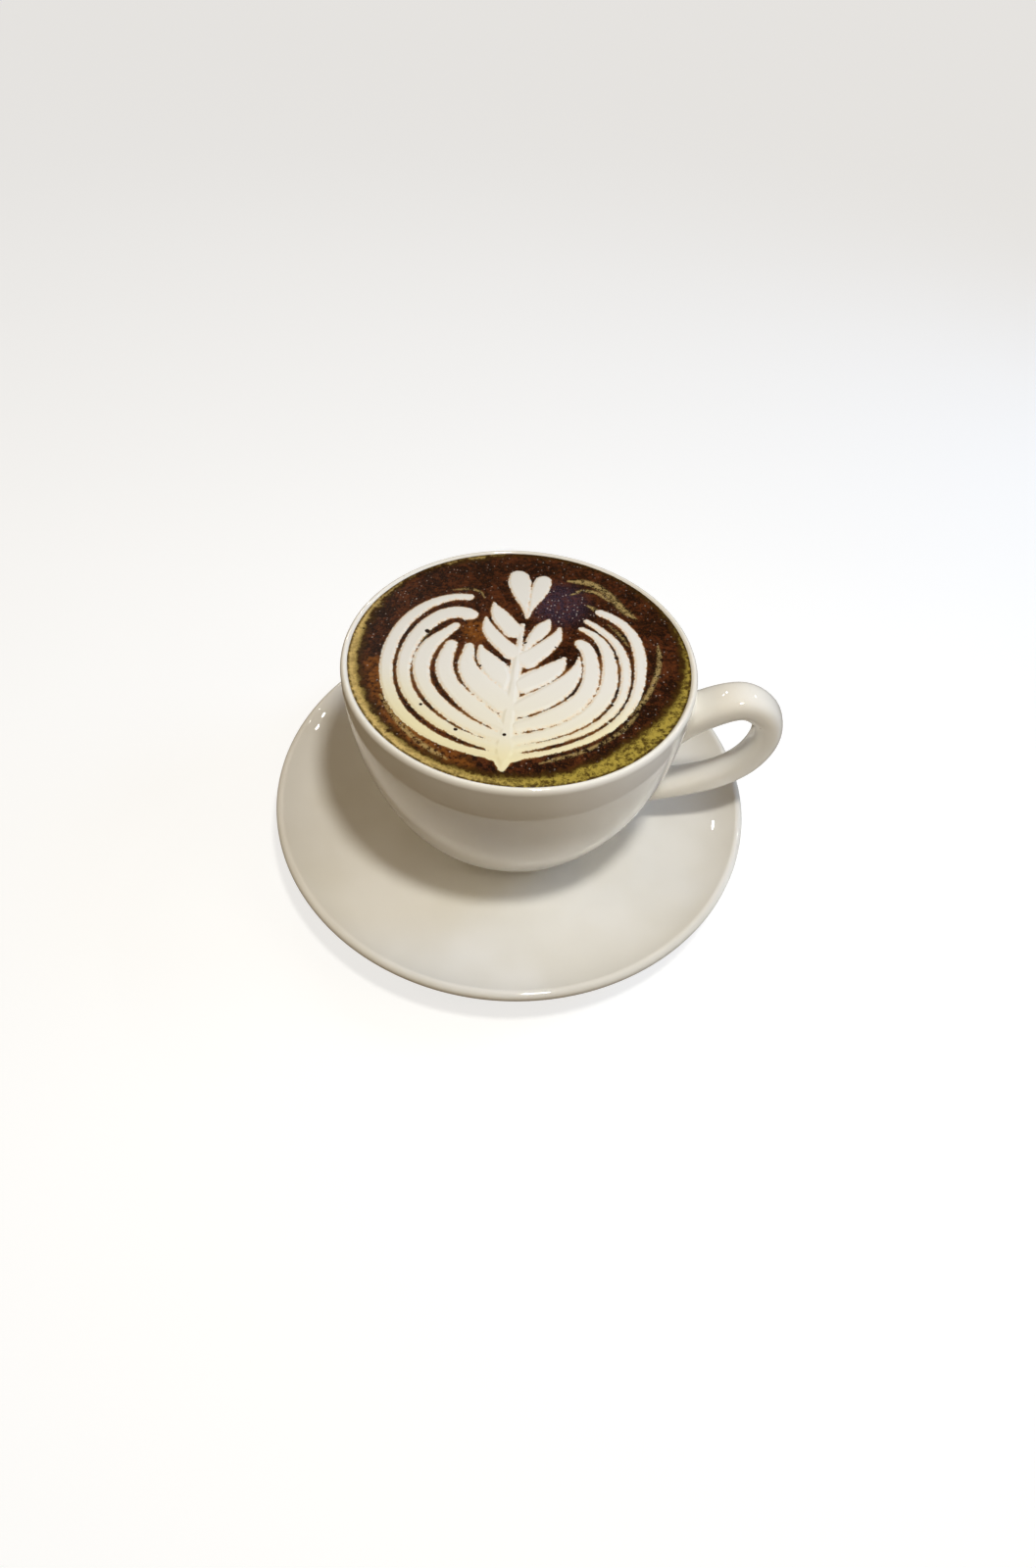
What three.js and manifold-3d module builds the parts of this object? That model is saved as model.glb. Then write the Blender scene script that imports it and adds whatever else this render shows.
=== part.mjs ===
import * as THREE from 'three';
import { mergeVertices } from 'three/addons/utils/BufferGeometryUtils.js';
import Module from 'manifold-3d';

const wasm = await Module();
wasm.setup();

// All sizes are in millimetres, heights are above the surface that the saucer stands on.
// The handle points along +X, and the drinker sits on the -Y side.

// Facets round every turned piece, so that the drink fits the cup facet to facet
const FACETS = 60;
// Gap left between neighbouring solids
const GAP = 0.3;

// Saucer: a shallow coupe dish with a rolled rim, a foot ring and a well for the cup
const SAUCER_RADIUS = 78.2;
const SAUCER_RIM_HEIGHT = 14.9;
const SAUCER_RIM_ROLL = 1.6;
const SAUCER_FOOT_OUTER = 45.8;
const SAUCER_FOOT_INNER = 42.2;
const SAUCER_UNDERSIDE = 2.1;
const WELL_FLOOR = 5.0;
const WELL_RADIUS = 29.4;
const WELL_LEDGE = 6.1;

// Cup: a round bowl that turns upright towards a thin lip, on a low foot ring
const CUP_RADIUS = 49.5;
const CUP_TOP = 70.9;
const LIP_START = 69.0;
const LIP_CROWN = 48.35;
const CUP_FOOT_OUTER = 28.0;
const CUP_FOOT_INNER = 24.6;
const CUP_FOOT_HEIGHT = 1.8;
const BOWL_START_RADIUS = 30.2;
const BOWL_START_HEIGHT = 7.96;
const CAVITY_RADIUS = 47.1;
const CAVITY_FLOOR = 12.0;
const BOWL_STEPS = 10;

// Handle: an ear in the XZ plane, wide and thick where it meets the bowl
const HANDLE_TOP_ROOT = [46.5, 49.3];
const HANDLE_CREST = [63.9, 63.6];
const HANDLE_REACH = [73.9, 51.8];
const HANDLE_ELBOW = [65.0, 32.0];
const HANDLE_LOW_ROOT = [44.7, 20.6];
const HANDLE_WIDTHS = [14.0, 14.0, 11.0, 9.8, 10.2, 12.0, 13.0];
const HANDLE_THICKNESSES = [8.8, 8.3, 8.2, 8.2, 7.4, 6.3, 6.3];
const HANDLE_SQUARENESS = 0.8;
const HANDLE_SIDES = 20;
const HANDLE_STEPS = 34;

// Drink: filled to just under the lip, with the poured milk standing a little proud of it
const DRINK_LEVEL = 70.0;
const MILK_RELIEF = 0.35;
const MILK_SUNK = 0.7;
const MILK_STEPS = 18;
const MILK_TIP_STEPS = 4;
const ART_TURN = 1.7;

// Milk petals on the left of the stem, outermost first.
// Across is the distance from the stem, along runs up the stem, headings turn outwards from it.
// A petal leaves its root, swings round its bow if it has one, and ends at its tip.
// Swell makes each of its arcs fuller or flatter, and breadths are spread evenly from root to tip.
const LEFT_PETALS = [
  {
    root: [0, -38.4], leaves: 89, bow: [36.2, -3.5], tip: [16.7, 22.4], ends: -100,
    swell: [1.1, 1.14], breadths: [1.3, 2.9, 3.5, 3.9, 2.8],
  },
  {
    root: [0, -35.9], leaves: 80, bow: [31.2, -6.5], tip: [15, 12.7], ends: -140,
    swell: [1, 1.5], breadths: [2, 3, 3.5, 4.5, 5.4],
  },
  {
    root: [0, -32.8], leaves: 76, bow: [26.4, -7], tip: [19.2, 9.9], ends: -30,
    swell: [0.9, 1.1], breadths: [2.4, 4, 4, 4.9, 2.4],
  },
  {
    root: [0.4, -29.6], leaves: 54, bow: [20.3, -6], tip: [19.5, 2.3], ends: -6,
    swell: [0.9, 1], breadths: [2, 5, 4.8, 4.7, 3.2],
  },
  {
    root: [0.5, -21.8], leaves: 50, bow: [14.5, -4], tip: [14.5, 1.9], ends: -4,
    swell: [0.9, 1], breadths: [6, 7.1, 6.6, 4.4, 2.4],
  },
  {
    root: [2.9, -15], leaves: 8, tip: [11.7, 1.8], ends: 12,
    swell: [1, 1], breadths: [0.8, 5.5, 6.4, 4.4, 0.9],
  },
  {
    root: [0.7, -1.6], leaves: 48, tip: [11.7, 14.4], ends: 0,
    swell: [0.88, 1], breadths: [6, 5.2, 4.8, 3.5, 0.6],
  },
  {
    root: [1.2, 7], leaves: 40, tip: [10.5, 21.4], ends: 14,
    swell: [0.85, 1], breadths: [7, 6, 5.8, 4.2, 0.4],
  },
];
// Milk petals on the right of the stem, outermost first
const RIGHT_PETALS = [
  {
    root: [0.4, -38.8], leaves: 74, bow: [33.5, -1], tip: [20, 22.2], ends: -76,
    swell: [1.04, 1.03], breadths: [1, 1.8, 2.6, 3.6, 3],
  },
  {
    root: [0.4, -36.2], leaves: 72, bow: [29.5, -5], tip: [16.8, 17.6], ends: -58,
    swell: [1.02, 1], breadths: [1.4, 1.7, 2.4, 2.8, 2],
  },
  {
    root: [0.6, -33], leaves: 73, bow: [25.1, -5], tip: [15.5, 13.6], ends: -74,
    swell: [0.98, 1], breadths: [2.4, 3.8, 4.6, 3.9, 1.9],
  },
  {
    root: [0.8, -28.2], leaves: 71, bow: [20, -6], tip: [14.7, 7.2], ends: -88,
    swell: [0.95, 1.08], breadths: [2.8, 5.4, 4.8, 4.4, 4],
  },
  {
    root: [0.4, -22.4], leaves: 58, tip: [16.3, 1.4], ends: -2,
    swell: [0.92, 1], breadths: [4.6, 6.4, 6.4, 4, 0.5],
  },
  {
    root: [0.4, -14], leaves: 45, tip: [12.4, 0.5], ends: 16,
    swell: [1, 1], breadths: [4.4, 5.6, 5.8, 4.6, 1],
  },
  {
    root: [0.3, -4.4], leaves: 38, tip: [10, 13.1], ends: 2,
    swell: [0.95, 1], breadths: [7.4, 5.8, 5.2, 3.8, 0.8],
  },
  {
    root: [0.9, 1.2], leaves: 14, tip: [6.6, 16.3], ends: 14,
    swell: [1, 1], breadths: [1.6, 3, 4.2, 4.3, 0.8],
  },
];
// Stem, its spread foot and the two lobes of the heart, which run almost straight
const STEM = {
  root: [0.4, -36], leaves: 0, tip: [0.9, 13], ends: 0,
  swell: [1, 1], breadths: [3, 3, 2, 1.8, 1.4],
};
const STEM_FOOT = {
  root: [0, -42], leaves: 0, tip: [0.4, -29], ends: 0,
  swell: [1, 1], breadths: [0.3, 3.4, 4.6, 3.8, 2.6],
};
const HEART_LEFT = {
  root: [0, 15.3], leaves: 8, tip: [4.5, 38.6], ends: 0,
  swell: [1, 1], breadths: [0.5, 2.6, 5.6, 7, 5.2],
};
const HEART_RIGHT = {
  root: [0.2, 15.3], leaves: 4, tip: [3.4, 37.1], ends: 2,
  swell: [1, 1], breadths: [0.5, 1.8, 4.3, 5.5, 4.4],
};

// Handle and petal outlines are worked in two coordinates
function vec(pair) {
  return new THREE.Vector2(pair[0], pair[1]);
}

// Closed mesh to solid, without the collapsed triangles on a lathe's axis
function solid(geometry) {
  geometry.deleteAttribute('normal');
  geometry.deleteAttribute('uv');
  const merged = mergeVertices(geometry, 1e-4);
  const index = merged.index.array;
  const kept = [];
  for (let i = 0; i < index.length; i += 3) {
    const [a, b, c] = index.slice(i, i + 3);
    if (a !== b && b !== c && c !== a) kept.push(a, b, c);
  }
  const vertProperties = new Float32Array(merged.attributes.position.array);
  const triVerts = new Uint32Array(kept);
  return new wasm.Manifold(new wasm.Mesh({ numProp: 3, vertProperties, triVerts }));
}

// Solid to a named mesh
function piece(name, body, color, roughness) {
  const mesh = body.getMesh();
  const geometry = new THREE.BufferGeometry();
  geometry.setAttribute('position', new THREE.BufferAttribute(new Float32Array(mesh.vertProperties), 3));
  geometry.setIndex(new THREE.BufferAttribute(new Uint32Array(mesh.triVerts), 1));
  geometry.computeVertexNormals();
  const material = new THREE.MeshStandardMaterial({ color, roughness, metalness: 0 });
  const result = new THREE.Mesh(geometry, material);
  result.name = name;
  return result;
}

// Solid turned about the upright axis from a profile of radius and height
function turned(profile) {
  const geometry = new THREE.LatheGeometry(profile, FACETS);
  geometry.rotateX(Math.PI / 2);
  return solid(geometry);
}

// Points of an elliptic arc, angles in degrees
function arc(center, radii, from, to, count) {
  const points = [];
  for (let i = 0; i <= count; i += 1) {
    const angle = THREE.MathUtils.degToRad(from + ((to - from) * i) / count);
    points.push(vec([center[0] + radii[0] * Math.cos(angle), center[1] + radii[1] * Math.sin(angle)]));
  }
  return points;
}

function saucerProfile() {
  const rollCenter = [SAUCER_RADIUS - SAUCER_RIM_ROLL, SAUCER_RIM_HEIGHT];
  const roll = arc(rollCenter, [SAUCER_RIM_ROLL, SAUCER_RIM_ROLL], -20, 135, 6);
  const shoulder = vec([SAUCER_FOOT_OUTER + 1.6, SAUCER_UNDERSIDE + 0.5]);
  const under = new THREE.CubicBezierCurve(shoulder, vec([60, 3.4]), vec([72.5, 6.6]), roll[0]);
  const ledge = vec([WELL_RADIUS + 1, WELL_LEDGE]);
  const dish = new THREE.CubicBezierCurve(roll[roll.length - 1], vec([66, 8.2]), vec([52, 7]), ledge);
  const foot = [[0, SAUCER_UNDERSIDE], [SAUCER_FOOT_INNER - 0.8, SAUCER_UNDERSIDE], [SAUCER_FOOT_INNER, 0]];
  foot.push([SAUCER_FOOT_OUTER, 0], [SAUCER_FOOT_OUTER + 0.5, 0.6]);
  const well = [[WELL_RADIUS + 0.3, WELL_FLOOR + 0.3], [WELL_RADIUS - 0.4, WELL_FLOOR], [0, WELL_FLOOR]];
  return [
    ...foot.map(vec),
    ...under.getPoints(6).slice(0, -1),
    ...roll,
    ...dish.getPoints(9).slice(1),
    ...well.map(vec),
  ];
}

function cupProfile() {
  const base = WELL_FLOOR + GAP;
  const recess = base + CUP_FOOT_HEIGHT;
  const foot = [[0, recess], [CUP_FOOT_INNER - 0.8, recess], [CUP_FOOT_INNER, base]];
  foot.push([CUP_FOOT_OUTER, base], [CUP_FOOT_OUTER + 0.5, base + 1.2]);
  const start = vec([BOWL_START_RADIUS, BOWL_START_HEIGHT]);
  const end = vec([CUP_RADIUS, LIP_START]);
  const wall = new THREE.CubicBezierCurve(start, vec([42.5, 13.9]), vec([51.55, 43.5]), end);
  const lip = arc([LIP_CROWN, LIP_START], [CUP_RADIUS - LIP_CROWN, CUP_TOP - LIP_START], 0, 80, 4);
  return [...foot.map(vec), ...wall.getPoints(15), ...lip.slice(1), vec([0, lip[lip.length - 1].y])];
}

// Inner wall of the bowl from the floor up, moved inwards by an inset
function bowlLine(inset) {
  const top = vec([CAVITY_RADIUS, LIP_START]);
  const wall = new THREE.CubicBezierCurve(vec([0, CAVITY_FLOOR]), vec([40, 11]), vec([46.5, 30]), top);
  const points = [vec([0, CAVITY_FLOOR + inset])];
  for (let i = 1; i <= BOWL_STEPS; i += 1) {
    const along = wall.getTangent(i / BOWL_STEPS);
    const point = wall.getPoint(i / BOWL_STEPS);
    points.push(vec([point.x - along.y * inset, point.y + along.x * inset]));
  }
  return points;
}

function cavityProfile() {
  const flare = [[CAVITY_RADIUS + 0.3, LIP_START + 1], [LIP_CROWN - 0.3, CUP_TOP]];
  flare.push([LIP_CROWN - 0.1, CUP_TOP + 1]);
  return [...bowlLine(0), ...flare.map(vec), vec([0, CUP_TOP + 1])];
}

function drinkProfile() {
  return [...bowlLine(GAP), vec([CAVITY_RADIUS, DRINK_LEVEL]), vec([0, DRINK_LEVEL])];
}

// Handle swept through rings of a rounded section, closed by a cap at each end
function handleGeometry() {
  const innerTop = [HANDLE_TOP_ROOT[0] - 5.5, HANDLE_TOP_ROOT[1] - 6.4];
  const innerLow = [HANDLE_LOW_ROOT[0] - 11.7, HANDLE_LOW_ROOT[1] - 5.9];
  const rise = [53.4, 57.7];
  const turn = [70.9, 60.2];
  const fall = [71.7, 40.7];
  const line = [innerTop, HANDLE_TOP_ROOT, rise, HANDLE_CREST, turn, HANDLE_REACH, fall, HANDLE_ELBOW];
  line.push([55.1, 25.7], HANDLE_LOW_ROOT, innerLow);
  const path = new THREE.CatmullRomCurve3(line.map(([x, z]) => new THREE.Vector3(x, 0, z)));
  const spread = (sizes) => new THREE.SplineCurve(sizes.map((size, i) => vec([i, size])));
  const widths = spread(HANDLE_WIDTHS);
  const depths = spread(HANDLE_THICKNESSES);
  const bend = (value) => Math.sign(value) * Math.abs(value) ** HANDLE_SQUARENESS;
  const positions = [];
  const index = [];
  for (let i = 0; i <= HANDLE_STEPS; i += 1) {
    const t = i / HANDLE_STEPS;
    const center = path.getPointAt(t);
    const along = path.getTangentAt(t);
    const width = widths.getPoint(t).y / 2;
    const depth = depths.getPoint(t).y / 2;
    for (let j = 0; j < HANDLE_SIDES; j += 1) {
      const angle = (2 * Math.PI * j) / HANDLE_SIDES;
      const across = depth * bend(Math.sin(angle));
      const side = width * bend(Math.cos(angle));
      positions.push(center.x - along.z * across, side, center.z + along.x * across);
      const next = (j + 1) % HANDLE_SIDES;
      const low = i * HANDLE_SIDES;
      const high = low + HANDLE_SIDES;
      if (i < HANDLE_STEPS) index.push(low + j, low + next, high + next, low + j, high + next, high + j);
    }
  }
  const last = HANDLE_STEPS * HANDLE_SIDES;
  for (let j = 1; j < HANDLE_SIDES - 1; j += 1) {
    index.push(0, j + 1, j, last, last + j, last + j + 1);
  }
  const geometry = new THREE.BufferGeometry();
  geometry.setAttribute('position', new THREE.Float32BufferAttribute(positions, 3));
  geometry.setIndex(index);
  return geometry;
}

// Smooth arc between two points with given headings, fuller the more it turns
function sweep(from, leaves, to, ends, swell) {
  const heading = (angle) => {
    const turn = THREE.MathUtils.degToRad(angle);
    return vec([Math.sin(turn), Math.cos(turn)]);
  };
  const chord = to.clone().sub(from);
  const pull = swell * (1 / 3 + 0.22 * Math.min(1, Math.abs(ends - leaves) / 90));
  const reach = (direction) => pull * Math.max(Math.abs(chord.dot(direction)), 0.45 * chord.length());
  const start = heading(leaves);
  const end = heading(ends);
  const first = from.clone().addScaledVector(start, reach(start));
  const second = to.clone().addScaledVector(end, -reach(end));
  return new THREE.CubicBezierCurve(from, first, second, to);
}

// Centre line of a petal
function petalLine(petal) {
  const line = new THREE.CurvePath();
  const root = vec(petal.root);
  const tip = vec(petal.tip);
  if (petal.bow) {
    const bow = vec(petal.bow);
    line.add(sweep(root, petal.leaves, bow, 0, petal.swell[0]));
    line.add(sweep(bow, 0, tip, petal.ends, petal.swell[1]));
  } else {
    line.add(sweep(root, petal.leaves, tip, petal.ends, petal.swell[0]));
  }
  return line;
}

// Petal as a flat-topped slab on the drink, with a round tip, on one side of the stem
function petalSolid(petal, side) {
  const line = petalLine(petal);
  const length = line.getLength();
  const breadths = new THREE.SplineCurve(petal.breadths.map((breadth, i) => vec([i, breadth])));
  const round = Math.max(petal.breadths[4] / 2, 0.2);
  const near = [];
  const far = [];
  for (let i = 0; i <= MILK_STEPS; i += 1) {
    const turn = Math.max(0, i - MILK_STEPS + MILK_TIP_STEPS) / MILK_TIP_STEPS;
    const past = Math.sin((turn * Math.PI) / 2);
    const straight = Math.min(i / (MILK_STEPS - MILK_TIP_STEPS), 1) * (length - round);
    const t = Math.min((straight + past * round) / length, 1);
    const point = line.getPoint(t);
    const ahead = line.getPoint(Math.min(t + 0.005, 1));
    const behind = line.getPoint(Math.max(t - 0.005, 0));
    const along = ahead.sub(behind).normalize();
    const half = (breadths.getPoint(t).y / 2) * Math.sqrt(1 - past * past);
    near.push(vec([side * (point.x - along.y * half), point.y + along.x * half]));
    far.push(vec([side * (point.x + along.y * half), point.y - along.x * half]));
  }
  far.pop();
  const shape = new THREE.Shape([...near, ...far.reverse()]);
  const depth = MILK_SUNK + MILK_RELIEF;
  const geometry = new THREE.ExtrudeGeometry(shape, { depth, bevelEnabled: false });
  geometry.rotateZ(THREE.MathUtils.degToRad(ART_TURN));
  geometry.translate(0, 0, DRINK_LEVEL - MILK_SUNK);
  return solid(geometry);
}

function buildDrink() {
  let drink = turned(drinkProfile());
  const left = [...LEFT_PETALS, STEM, STEM_FOOT, HEART_LEFT];
  const right = [...RIGHT_PETALS, HEART_RIGHT];
  for (const petal of left) drink = drink.add(petalSolid(petal, -1));
  for (const petal of right) drink = drink.add(petalSolid(petal, 1));
  return drink;
}

function buildCup() {
  const body = turned(cupProfile()).add(solid(handleGeometry()));
  return body.subtract(turned(cavityProfile()));
}

const cupOfMocha = new THREE.Group();
cupOfMocha.add(piece('saucer', turned(saucerProfile()), 0xf1ede4, 0.12));
cupOfMocha.add(piece('cup', buildCup(), 0xf1ede4, 0.12));
cupOfMocha.add(piece('mocha', buildDrink(), 0x3a1d10, 0.4));

export default cupOfMocha;
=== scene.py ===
"""Cup of caffe mocha with poured milk art, standing on its saucer.

Sizes are in millimetres, as on the part itself, and become metres when a mesh is built.
"""

import logging
import math
from collections.abc import Mapping, Sequence
from dataclasses import dataclass
from enum import Enum

import bmesh
import bpy
import numpy as np
from mathutils import Matrix, Vector


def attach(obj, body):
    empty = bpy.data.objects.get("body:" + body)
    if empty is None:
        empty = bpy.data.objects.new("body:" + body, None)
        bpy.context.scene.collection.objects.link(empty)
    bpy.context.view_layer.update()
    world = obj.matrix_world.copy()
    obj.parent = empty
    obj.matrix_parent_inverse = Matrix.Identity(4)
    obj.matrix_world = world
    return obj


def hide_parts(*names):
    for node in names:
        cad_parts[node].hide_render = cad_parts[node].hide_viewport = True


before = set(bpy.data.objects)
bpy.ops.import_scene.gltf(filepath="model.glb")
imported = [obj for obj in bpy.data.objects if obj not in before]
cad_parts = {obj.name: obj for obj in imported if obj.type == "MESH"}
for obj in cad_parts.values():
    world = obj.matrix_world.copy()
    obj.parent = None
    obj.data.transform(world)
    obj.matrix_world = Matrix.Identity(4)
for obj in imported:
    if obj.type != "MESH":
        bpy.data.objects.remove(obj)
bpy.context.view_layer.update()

log = logging.getLogger("mocha")

MM = 0.001
BODY = "root"

Pair = tuple[float, float]
Colour = tuple[float, float, float, float]


def tint(red: int, green: int, blue: int) -> Colour:
    """Turns a display colour into a linear one.

    Args:
        red: Red from 0 to 255.
        green: Green from 0 to 255.
        blue: Blue from 0 to 255.

    Returns:
        The linear colour with full alpha.
    """
    parts = [part / 255 for part in (red, green, blue)]
    linear = [p / 12.92 if p <= 0.04045 else ((p + 0.055) / 1.055) ** 2.4 for p in parts]
    return (*linear, 1.0)


def bezier(controls: Sequence[Pair], count: int) -> np.ndarray:
    """Walks along a cubic Bezier curve.

    Args:
        controls: The four control points.
        count: Number of steps.

    Returns:
        The count + 1 points.
    """
    t = np.linspace(0.0, 1.0, count + 1)[:, None]
    a, b, c, d = (np.asarray(point, float) for point in controls)
    return (1 - t) ** 3 * a + 3 * (1 - t) ** 2 * t * b + 3 * (1 - t) * t**2 * c + t**3 * d


def arc(centre: Pair, radii: Pair, start: float, end: float, count: int) -> np.ndarray:
    """Walks along an elliptic arc.

    Args:
        centre: Centre of the arc.
        radii: Half axes.
        start: First angle in degrees.
        end: Last angle in degrees.
        count: Number of steps.

    Returns:
        The count + 1 points.
    """
    angles = np.radians(np.linspace(start, end, count + 1))
    return np.column_stack([centre[0] + radii[0] * np.cos(angles), centre[1] + radii[1] * np.sin(angles)])


def soften(corners: Sequence[Pair], radius: float, count: int) -> np.ndarray:
    """Rounds the inner corners of an open outline.

    Args:
        corners: Points of the outline.
        radius: How far from a corner the rounding starts, at most.
        count: Steps round each corner.

    Returns:
        The points of the rounded outline.
    """
    points = np.asarray(corners, float)
    t = np.linspace(0.0, 1.0, count + 1)[:, None]
    out = [points[:1]]
    for before, corner, after in zip(points, points[1:], points[2:]):
        back, ahead = before - corner, after - corner
        start = corner + back * min(radius / np.linalg.norm(back), 0.45)
        end = corner + ahead * min(radius / np.linalg.norm(ahead), 0.45)
        out.append((1 - t) ** 2 * start + 2 * (1 - t) * t * corner + t**2 * end)
    out.append(points[-1:])
    return np.vstack(out)


def lengths(points: np.ndarray) -> np.ndarray:
    """Returns the distance walked along a line at each of its points."""
    return np.concatenate([[0.0], np.cumsum(np.linalg.norm(np.diff(points, axis=0), axis=1))])


def evenly(points: np.ndarray, count: int) -> np.ndarray:
    """Spaces points evenly along a line.

    Args:
        points: Points of the line.
        count: Number of steps.

    Returns:
        The count + 1 points.
    """
    walked = lengths(points)
    at = np.linspace(0.0, walked[-1], count + 1)
    return np.column_stack([np.interp(at, walked, axis) for axis in points.T])


def through(points: Sequence[Pair], count: int) -> np.ndarray:
    """Draws a smooth curve through points, as a centripetal spline.

    Args:
        points: Points on the curve.
        count: Number of steps.

    Returns:
        The count + 1 evenly spaced points.
    """
    given = np.asarray(points, float)
    padded = np.vstack([2 * given[0] - given[1], given, 2 * given[-1] - given[-2]])
    knots = np.concatenate([[0.0], np.cumsum(np.sqrt(np.linalg.norm(np.diff(padded, axis=0), axis=1)))])

    def between(a: np.ndarray, b: np.ndarray, start: float, end: float) -> np.ndarray:
        """Goes from a at the time start to b at the time end."""
        return ((end - t) * a + (t - start) * b) / (end - start)

    spans = []
    for i in range(1, len(given)):
        k0, k1, k2, k3 = knots[i - 1:i + 3]
        p0, p1, p2, p3 = padded[i - 1:i + 3]
        t = np.linspace(k1, k2, 40, endpoint=False)[:, None]
        first, middle, last = between(p0, p1, k0, k1), between(p1, p2, k1, k2), between(p2, p3, k2, k3)
        spans.append(between(between(first, middle, k0, k2), between(middle, last, k1, k3), k1, k2))
    return evenly(np.vstack([*spans, given[-1:]]), count)


def spread(values: Sequence[float], at: np.ndarray) -> np.ndarray:
    """Runs a smooth curve through evenly spaced values.

    Args:
        values: The values, from start to end.
        at: Places between 0 and 1.

    Returns:
        The value at each place.
    """
    last = len(values) - 1
    scaled = np.clip(at, 0.0, 1.0) * last
    first = np.minimum(scaled.astype(int), last - 1)
    t = scaled - first
    v = np.asarray(values, float)
    p0, p1, p2, p3 = (v[np.clip(first + shift, 0, last)] for shift in (-1, 0, 1, 2))
    m1, m2 = (p2 - p0) / 2, (p3 - p1) / 2
    return (2 * p1 - 2 * p2 + m1 + m2) * t**3 + (3 * p2 - 3 * p1 - 2 * m1 - m2) * t**2 + m1 * t + p1


def rise(value: np.ndarray, low: float, high: float) -> np.ndarray:
    """Rises smoothly from 0 at low to 1 at high."""
    t = np.clip((value - low) / (high - low), 0.0, 1.0)
    return t * t * (3 - 2 * t)


def round_points(radius: float, height: float, count: int) -> np.ndarray:
    """Returns count points on a level circle about the upright axis, from +X on."""
    angles = np.arange(count) * (2 * math.pi / count)
    return np.column_stack([radius * np.cos(angles), radius * np.sin(angles), np.full(count, height)])


class Loft:
    """A mesh in the making: rings of points, in millimetres, joined by strips of faces."""

    def __init__(self) -> None:
        """Starts with no points and no faces."""
        self.points: list[np.ndarray] = []
        self.faces: list[tuple[int, ...]] = []
        self.count = 0

    def ring(self, points: np.ndarray) -> np.ndarray:
        """Adds points.

        Args:
            points: The places, one in each row.

        Returns:
            The numbers of the new points.
        """
        self.points.append(np.asarray(points, float))
        numbers = np.arange(self.count, self.count + len(points))
        self.count += len(points)
        return numbers

    def strip(self, low: np.ndarray, high: np.ndarray, holes: frozenset[int] = frozenset()) -> None:
        """Joins two closed rings, of which the second may have half as many points, or one.

        Args:
            low: Numbers of the first ring.
            high: Numbers of the second ring.
            holes: Steps round the ring that stay open.
        """
        count = len(low)
        ratio = count // len(high)
        for i in range(0, count, 1 if len(high) in (1, count) else ratio):
            a, b = int(low[i]), int(low[(i + 1) % count])
            if i in holes:
                continue
            if len(high) == 1:
                self.faces.append((a, b, int(high[0])))
                continue
            c, d = int(high[(i // ratio + 1) % len(high)]), int(high[i // ratio])
            if ratio == 1:
                self.faces.append((a, b, c, d))
                continue
            e = int(low[(i + 2) % count])
            self.faces += [(a, b, d), (b, e, c), (b, c, d)]

    def turn(
        self, profile: np.ndarray, count: int, holes: Mapping[int, frozenset[int]] | None = None
    ) -> list[np.ndarray]:
        """Turns a profile about the upright axis.

        Args:
            profile: Radius and height of each row.
            count: Points round a row.
            holes: For a row, the steps that stay open between it and the next.

        Returns:
            The numbers of each row's points.
        """
        rows = []
        for radius, height in profile:
            rows.append(self.ring(round_points(radius, height, 1 if radius < 1e-6 else count)))
        for i, (low, high) in enumerate(zip(rows, rows[1:])):
            if len(low) == 1:
                low, high = high, low
            self.strip(low, high, (holes or {}).get(i, frozenset()))
        return rows

    def build(self, name: str, material: bpy.types.Material) -> bpy.types.Object:
        """Makes the object, with its faces pointing out.

        Args:
            name: Name of the piece.
            material: Its finish.

        Returns:
            The linked object.
        """
        used = np.unique(np.concatenate([np.array(face) for face in self.faces]))
        new_number = np.full(self.count, -1)
        new_number[used] = np.arange(len(used))
        places = np.vstack(self.points)[used] * MM
        mesh = bpy.data.meshes.new(name)
        mesh.from_pydata(places.tolist(), [], [[int(new_number[n]) for n in face] for face in self.faces])
        work = bmesh.new()
        work.from_mesh(mesh)
        bmesh.ops.recalc_face_normals(work, faces=work.faces)
        work.to_mesh(mesh)
        work.free()
        mesh.shade_smooth()
        mesh.materials.append(material)
        piece = bpy.data.objects.new(name, mesh)
        bpy.context.scene.collection.objects.link(piece)
        return piece


def settle(piece: bpy.types.Object, node: str) -> None:
    """Hands a finished piece to the frame.

    Args:
        piece: The piece, in place.
        node: The solid that it stands for.
    """
    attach(piece, BODY)
    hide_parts(node)
    log.info("%s: %d faces, stands for %s", piece.name, len(piece.data.polygons), node)


class Field:
    """An output of a node that takes part in Python arithmetic by adding Math nodes."""

    def __init__(self, shader: "Shader", socket: bpy.types.NodeSocket) -> None:
        """Wraps a socket of a shader's tree."""
        self.shader = shader
        self.socket = socket

    def __add__(self, other: "Value") -> "Field":
        """Adds."""
        return self.shader.math("ADD", self, other)

    def __radd__(self, other: "Value") -> "Field":
        """Adds, reflected."""
        return self.shader.math("ADD", other, self)

    def __sub__(self, other: "Value") -> "Field":
        """Subtracts."""
        return self.shader.math("SUBTRACT", self, other)

    def __rsub__(self, other: "Value") -> "Field":
        """Subtracts, reflected."""
        return self.shader.math("SUBTRACT", other, self)

    def __mul__(self, other: "Value") -> "Field":
        """Multiplies."""
        return self.shader.math("MULTIPLY", self, other)

    def __rmul__(self, other: "Value") -> "Field":
        """Multiplies, reflected."""
        return self.shader.math("MULTIPLY", other, self)

    def rise(self, low: float, high: float) -> "Field":
        """Rises smoothly from 0 at low to 1 at high, or falls where high is the lower one.

        Args:
            low: Where the result is 0.
            high: Where the result is 1.

        Returns:
            The value between 0 and 1.
        """
        if high < low:
            return 1 - self.rise(high, low)
        settings = {"interpolation_type": "SMOOTHSTEP"}
        made = self.shader.node(
            "ShaderNodeMapRange", settings, {"Value": self, "From Min": low, "From Max": high}
        )
        return Field(self.shader, made.outputs["Result"])


Value = Field | float


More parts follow.
